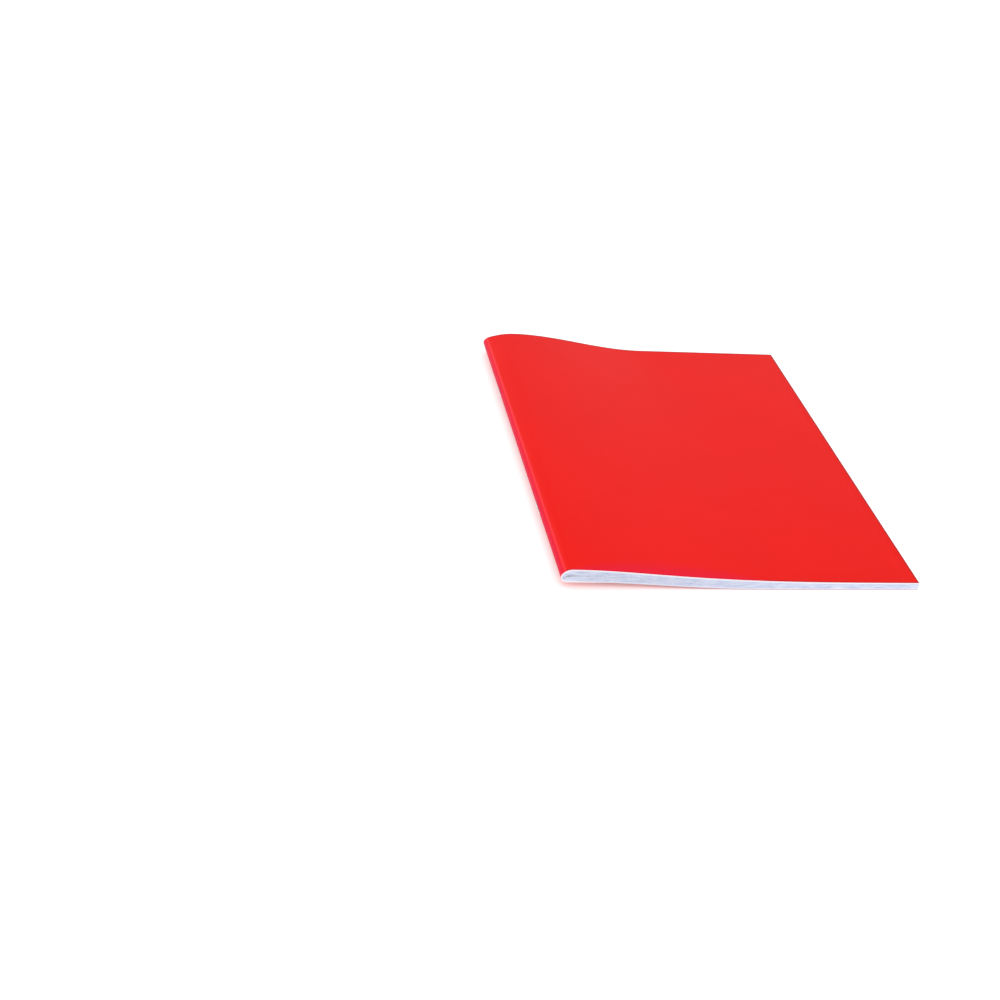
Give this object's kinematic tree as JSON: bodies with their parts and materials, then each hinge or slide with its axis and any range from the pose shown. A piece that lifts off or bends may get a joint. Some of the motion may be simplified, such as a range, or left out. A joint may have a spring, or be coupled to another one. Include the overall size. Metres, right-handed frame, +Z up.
{
  "type": "notebook",
  "caption": "Closed softcover exercise notebook, stapled through the fold, with a cover and leaves that turn about the spine.",
  "frame": {"origin": "on the table under the middle of the closed notebook's bounding box", "axes": "+X from the spine to the fore edge, +Y from the tail to the head of the page, +Z up out of the front cover"},
  "size_m": [0.2106, 0.297, 0.0151],
  "materials": {
    "cover_card": "satin",
    "page_paper": "matte",
    "staple_wire": "satin"
  },
  "bodies": {
    "back_cover": {"back_cover": "cover_card"},
    "front_cover": {"front_cover": "cover_card"},
    "spine": {"cover_spine": "cover_card", "sheet_01_fold": "page_paper", "sheet_02_fold": "page_paper", "sheet_03_fold": "page_paper", "sheet_04_fold": "page_paper", "sheet_05_fold": "page_paper", "sheet_06_fold": "page_paper", "sheet_07_fold": "page_paper", "sheet_08_fold": "page_paper", "sheet_09_fold": "page_paper", "sheet_10_fold": "page_paper", "sheet_11_fold": "page_paper", "sheet_12_fold": "page_paper", "sheet_13_fold": "page_paper", "sheet_14_fold": "page_paper", "sheet_15_fold": "page_paper", "sheet_16_fold": "page_paper", "staple_tail": "staple_wire", "staple_head": "staple_wire"},
    "sheet_01_back_leaf": {"sheet_01_back_leaf": "page_paper"},
    "sheet_01_front_leaf": {"sheet_01_front_leaf": "page_paper"},
    "sheet_02_back_leaf": {"sheet_02_back_leaf": "page_paper"},
    "sheet_02_front_leaf": {"sheet_02_front_leaf": "page_paper"},
    "sheet_03_back_leaf": {"sheet_03_back_leaf": "page_paper"},
    "sheet_03_front_leaf": {"sheet_03_front_leaf": "page_paper"},
    "sheet_04_back_leaf": {"sheet_04_back_leaf": "page_paper"},
    "sheet_04_front_leaf": {"sheet_04_front_leaf": "page_paper"},
    "sheet_05_back_leaf": {"sheet_05_back_leaf": "page_paper"},
    "sheet_05_front_leaf": {"sheet_05_front_leaf": "page_paper"},
    "sheet_06_back_leaf": {"sheet_06_back_leaf": "page_paper"},
    "sheet_06_front_leaf": {"sheet_06_front_leaf": "page_paper"},
    "sheet_07_back_leaf": {"sheet_07_back_leaf": "page_paper"},
    "sheet_07_front_leaf": {"sheet_07_front_leaf": "page_paper"},
    "sheet_08_back_leaf": {"sheet_08_back_leaf": "page_paper"},
    "sheet_08_front_leaf": {"sheet_08_front_leaf": "page_paper"},
    "sheet_09_back_leaf": {"sheet_09_back_leaf": "page_paper"},
    "sheet_09_front_leaf": {"sheet_09_front_leaf": "page_paper"},
    "sheet_10_back_leaf": {"sheet_10_back_leaf": "page_paper"},
    "sheet_10_front_leaf": {"sheet_10_front_leaf": "page_paper"},
    "sheet_11_back_leaf": {"sheet_11_back_leaf": "page_paper"},
    "sheet_11_front_leaf": {"sheet_11_front_leaf": "page_paper"},
    "sheet_12_back_leaf": {"sheet_12_back_leaf": "page_paper"},
    "sheet_12_front_leaf": {"sheet_12_front_leaf": "page_paper"},
    "sheet_13_back_leaf": {"sheet_13_back_leaf": "page_paper"},
    "sheet_13_front_leaf": {"sheet_13_front_leaf": "page_paper"},
    "sheet_14_back_leaf": {"sheet_14_back_leaf": "page_paper"},
    "sheet_14_front_leaf": {"sheet_14_front_leaf": "page_paper"},
    "sheet_15_back_leaf": {"sheet_15_back_leaf": "page_paper"},
    "sheet_15_front_leaf": {"sheet_15_front_leaf": "page_paper"},
    "sheet_16_back_leaf": {"sheet_16_back_leaf": "page_paper"},
    "sheet_16_front_leaf": {"sheet_16_front_leaf": "page_paper"}
  },
  "joints": [
    {"name": "front_cover_hinge", "type": "hinge", "parent": "back_cover", "child": "front_cover", "pos_m": [-0.10128, 0, 0.00792], "axis": [0, -1, 0], "range_deg": [0, 180], "deforming": ["cover_spine"]},
    {"name": "spine_turn", "type": "hinge", "parent": "back_cover", "child": "spine", "pos_m": [-0.10128, 0, 0.00792], "axis": [0, -1, 0], "range_deg": [0, 90]},
    {"name": "sheet_01_back_leaf_hinge", "type": "hinge", "parent": "back_cover", "child": "sheet_01_back_leaf", "pos_m": [-0.10128, 0, 0.00792], "axis": [0, -1, 0], "range_deg": [0, 180]},
    {"name": "sheet_01_front_leaf_hinge", "type": "hinge", "parent": "sheet_01_back_leaf", "child": "sheet_01_front_leaf", "pos_m": [-0.10128, 0, 0.00792], "axis": [0, -1, 0], "range_deg": [0, 180], "deforming": ["sheet_01_fold"]},
    {"name": "sheet_02_back_leaf_hinge", "type": "hinge", "parent": "back_cover", "child": "sheet_02_back_leaf", "pos_m": [-0.10128, 0, 0.00792], "axis": [0, -1, 0], "range_deg": [0, 180]},
    {"name": "sheet_02_front_leaf_hinge", "type": "hinge", "parent": "sheet_02_back_leaf", "child": "sheet_02_front_leaf", "pos_m": [-0.10128, 0, 0.00792], "axis": [0, -1, 0], "range_deg": [0, 180], "deforming": ["sheet_02_fold"]},
    {"name": "sheet_03_back_leaf_hinge", "type": "hinge", "parent": "back_cover", "child": "sheet_03_back_leaf", "pos_m": [-0.10128, 0, 0.00792], "axis": [0, -1, 0], "range_deg": [0, 180]},
    {"name": "sheet_03_front_leaf_hinge", "type": "hinge", "parent": "sheet_03_back_leaf", "child": "sheet_03_front_leaf", "pos_m": [-0.10128, 0, 0.00792], "axis": [0, -1, 0], "range_deg": [0, 180], "deforming": ["sheet_03_fold"]},
    {"name": "sheet_04_back_leaf_hinge", "type": "hinge", "parent": "back_cover", "child": "sheet_04_back_leaf", "pos_m": [-0.10128, 0, 0.00792], "axis": [0, -1, 0], "range_deg": [0, 180]},
    {"name": "sheet_04_front_leaf_hinge", "type": "hinge", "parent": "sheet_04_back_leaf", "child": "sheet_04_front_leaf", "pos_m": [-0.10128, 0, 0.00792], "axis": [0, -1, 0], "range_deg": [0, 180], "deforming": ["sheet_04_fold"]},
    {"name": "sheet_05_back_leaf_hinge", "type": "hinge", "parent": "back_cover", "child": "sheet_05_back_leaf", "pos_m": [-0.10128, 0, 0.00792], "axis": [0, -1, 0], "range_deg": [0, 180]},
    {"name": "sheet_05_front_leaf_hinge", "type": "hinge", "parent": "sheet_05_back_leaf", "child": "sheet_05_front_leaf", "pos_m": [-0.10128, 0, 0.00792], "axis": [0, -1, 0], "range_deg": [0, 180], "deforming": ["sheet_05_fold"]},
    {"name": "sheet_06_back_leaf_hinge", "type": "hinge", "parent": "back_cover", "child": "sheet_06_back_leaf", "pos_m": [-0.10128, 0, 0.00792], "axis": [0, -1, 0], "range_deg": [0, 180]},
    {"name": "sheet_06_front_leaf_hinge", "type": "hinge", "parent": "sheet_06_back_leaf", "child": "sheet_06_front_leaf", "pos_m": [-0.10128, 0, 0.00792], "axis": [0, -1, 0], "range_deg": [0, 180], "deforming": ["sheet_06_fold"]},
    {"name": "sheet_07_back_leaf_hinge", "type": "hinge", "parent": "back_cover", "child": "sheet_07_back_leaf", "pos_m": [-0.10128, 0, 0.00792], "axis": [0, -1, 0], "range_deg": [0, 180]},
    {"name": "sheet_07_front_leaf_hinge", "type": "hinge", "parent": "sheet_07_back_leaf", "child": "sheet_07_front_leaf", "pos_m": [-0.10128, 0, 0.00792], "axis": [0, -1, 0], "range_deg": [0, 180], "deforming": ["sheet_07_fold"]},
    {"name": "sheet_08_back_leaf_hinge", "type": "hinge", "parent": "back_cover", "child": "sheet_08_back_leaf", "pos_m": [-0.10128, 0, 0.00792], "axis": [0, -1, 0], "range_deg": [0, 180]},
    {"name": "sheet_08_front_leaf_hinge", "type": "hinge", "parent": "sheet_08_back_leaf", "child": "sheet_08_front_leaf", "pos_m": [-0.10128, 0, 0.00792], "axis": [0, -1, 0], "range_deg": [0, 180], "deforming": ["sheet_08_fold"]},
    {"name": "sheet_09_back_leaf_hinge", "type": "hinge", "parent": "back_cover", "child": "sheet_09_back_leaf", "pos_m": [-0.10128, 0, 0.00792], "axis": [0, -1, 0], "range_deg": [0, 180]},
    {"name": "sheet_09_front_leaf_hinge", "type": "hinge", "parent": "sheet_09_back_leaf", "child": "sheet_09_front_leaf", "pos_m": [-0.10128, 0, 0.00792], "axis": [0, -1, 0], "range_deg": [0, 180], "deforming": ["sheet_09_fold"]},
    {"name": "sheet_10_back_leaf_hinge", "type": "hinge", "parent": "back_cover", "child": "sheet_10_back_leaf", "pos_m": [-0.10128, 0, 0.00792], "axis": [0, -1, 0], "range_deg": [0, 180]},
    {"name": "sheet_10_front_leaf_hinge", "type": "hinge", "parent": "sheet_10_back_leaf", "child": "sheet_10_front_leaf", "pos_m": [-0.10128, 0, 0.00792], "axis": [0, -1, 0], "range_deg": [0, 180], "deforming": ["sheet_10_fold"]},
    {"name": "sheet_11_back_leaf_hinge", "type": "hinge", "parent": "back_cover", "child": "sheet_11_back_leaf", "pos_m": [-0.10128, 0, 0.00792], "axis": [0, -1, 0], "range_deg": [0, 180]},
    {"name": "sheet_11_front_leaf_hinge", "type": "hinge", "parent": "sheet_11_back_leaf", "child": "sheet_11_front_leaf", "pos_m": [-0.10128, 0, 0.00792], "axis": [0, -1, 0], "range_deg": [0, 180], "deforming": ["sheet_11_fold"]},
    {"name": "sheet_12_back_leaf_hinge", "type": "hinge", "parent": "back_cover", "child": "sheet_12_back_leaf", "pos_m": [-0.10128, 0, 0.00792], "axis": [0, -1, 0], "range_deg": [0, 180]},
    {"name": "sheet_12_front_leaf_hinge", "type": "hinge", "parent": "sheet_12_back_leaf", "child": "sheet_12_front_leaf", "pos_m": [-0.10128, 0, 0.00792], "axis": [0, -1, 0], "range_deg": [0, 180], "deforming": ["sheet_12_fold"]},
    {"name": "sheet_13_back_leaf_hinge", "type": "hinge", "parent": "back_cover", "child": "sheet_13_back_leaf", "pos_m": [-0.10128, 0, 0.00792], "axis": [0, -1, 0], "range_deg": [0, 180]},
    {"name": "sheet_13_front_leaf_hinge", "type": "hinge", "parent": "sheet_13_back_leaf", "child": "sheet_13_front_leaf", "pos_m": [-0.10128, 0, 0.00792], "axis": [0, -1, 0], "range_deg": [0, 180], "deforming": ["sheet_13_fold"]},
    {"name": "sheet_14_back_leaf_hinge", "type": "hinge", "parent": "back_cover", "child": "sheet_14_back_leaf", "pos_m": [-0.10128, 0, 0.00792], "axis": [0, -1, 0], "range_deg": [0, 180]},
    {"name": "sheet_14_front_leaf_hinge", "type": "hinge", "parent": "sheet_14_back_leaf", "child": "sheet_14_front_leaf", "pos_m": [-0.10128, 0, 0.00792], "axis": [0, -1, 0], "range_deg": [0, 180], "deforming": ["sheet_14_fold"]},
    {"name": "sheet_15_back_leaf_hinge", "type": "hinge", "parent": "back_cover", "child": "sheet_15_back_leaf", "pos_m": [-0.10128, 0, 0.00792], "axis": [0, -1, 0], "range_deg": [0, 180]},
    {"name": "sheet_15_front_leaf_hinge", "type": "hinge", "parent": "sheet_15_back_leaf", "child": "sheet_15_front_leaf", "pos_m": [-0.10128, 0, 0.00792], "axis": [0, -1, 0], "range_deg": [0, 180], "deforming": ["sheet_15_fold"]},
    {"name": "sheet_16_back_leaf_hinge", "type": "hinge", "parent": "back_cover", "child": "sheet_16_back_leaf", "pos_m": [-0.10128, 0, 0.00792], "axis": [0, -1, 0], "range_deg": [0, 180]},
    {"name": "sheet_16_front_leaf_hinge", "type": "hinge", "parent": "sheet_16_back_leaf", "child": "sheet_16_front_leaf", "pos_m": [-0.10128, 0, 0.00792], "axis": [0, -1, 0], "range_deg": [0, 180], "deforming": ["sheet_16_fold"]}
  ],
  "couplings": [
    {"joint": "spine_turn", "follows": "front_cover_hinge", "ratio": 0.5},
    {"joint": "sheet_01_back_leaf_hinge", "follows": "front_cover_hinge", "ratio": 0.00061},
    {"joint": "sheet_01_front_leaf_hinge", "follows": "front_cover_hinge", "ratio": 0.99878},
    {"joint": "sheet_02_back_leaf_hinge", "follows": "front_cover_hinge", "ratio": 0.00213},
    {"joint": "sheet_02_front_leaf_hinge", "follows": "front_cover_hinge", "ratio": 0.99574},
    {"joint": "sheet_03_back_leaf_hinge", "follows": "front_cover_hinge", "ratio": 0.00442},
    {"joint": "sheet_03_front_leaf_hinge", "follows": "front_cover_hinge", "ratio": 0.99116},
    {"joint": "sheet_04_back_leaf_hinge", "follows": "front_cover_hinge", "ratio": 0.00742},
    {"joint": "sheet_04_front_leaf_hinge", "follows": "front_cover_hinge", "ratio": 0.98516},
    {"joint": "sheet_05_back_leaf_hinge", "follows": "front_cover_hinge", "ratio": 0.01109},
    {"joint": "sheet_05_front_leaf_hinge", "follows": "front_cover_hinge", "ratio": 0.97782},
    {"joint": "sheet_06_back_leaf_hinge", "follows": "front_cover_hinge", "ratio": 0.0154},
    {"joint": "sheet_06_front_leaf_hinge", "follows": "front_cover_hinge", "ratio": 0.9692},
    {"joint": "sheet_07_back_leaf_hinge", "follows": "front_cover_hinge", "ratio": 0.02032},
    {"joint": "sheet_07_front_leaf_hinge", "follows": "front_cover_hinge", "ratio": 0.95936},
    {"joint": "sheet_08_back_leaf_hinge", "follows": "front_cover_hinge", "ratio": 0.02585},
    {"joint": "sheet_08_front_leaf_hinge", "follows": "front_cover_hinge", "ratio": 0.9483},
    {"joint": "sheet_09_back_leaf_hinge", "follows": "front_cover_hinge", "ratio": 0.03195},
    {"joint": "sheet_09_front_leaf_hinge", "follows": "front_cover_hinge", "ratio": 0.9361},
    {"joint": "sheet_10_back_leaf_hinge", "follows": "front_cover_hinge", "ratio": 0.03862},
    {"joint": "sheet_10_front_leaf_hinge", "follows": "front_cover_hinge", "ratio": 0.92276},
    {"joint": "sheet_11_back_leaf_hinge", "follows": "front_cover_hinge", "ratio": 0.04585},
    {"joint": "sheet_11_front_leaf_hinge", "follows": "front_cover_hinge", "ratio": 0.9083},
    {"joint": "sheet_12_back_leaf_hinge", "follows": "front_cover_hinge", "ratio": 0.05362},
    {"joint": "sheet_12_front_leaf_hinge", "follows": "front_cover_hinge", "ratio": 0.89276},
    {"joint": "sheet_13_back_leaf_hinge", "follows": "front_cover_hinge", "ratio": 0.06193},
    {"joint": "sheet_13_front_leaf_hinge", "follows": "front_cover_hinge", "ratio": 0.87614},
    {"joint": "sheet_14_back_leaf_hinge", "follows": "front_cover_hinge", "ratio": 0.07077},
    {"joint": "sheet_14_front_leaf_hinge", "follows": "front_cover_hinge", "ratio": 0.85846},
    {"joint": "sheet_15_back_leaf_hinge", "follows": "front_cover_hinge", "ratio": 0.08013},
    {"joint": "sheet_15_front_leaf_hinge", "follows": "front_cover_hinge", "ratio": 0.83974},
    {"joint": "sheet_16_back_leaf_hinge", "follows": "front_cover_hinge", "ratio": 0.09},
    {"joint": "sheet_16_front_leaf_hinge", "follows": "front_cover_hinge", "ratio": 0.82}
  ]
}
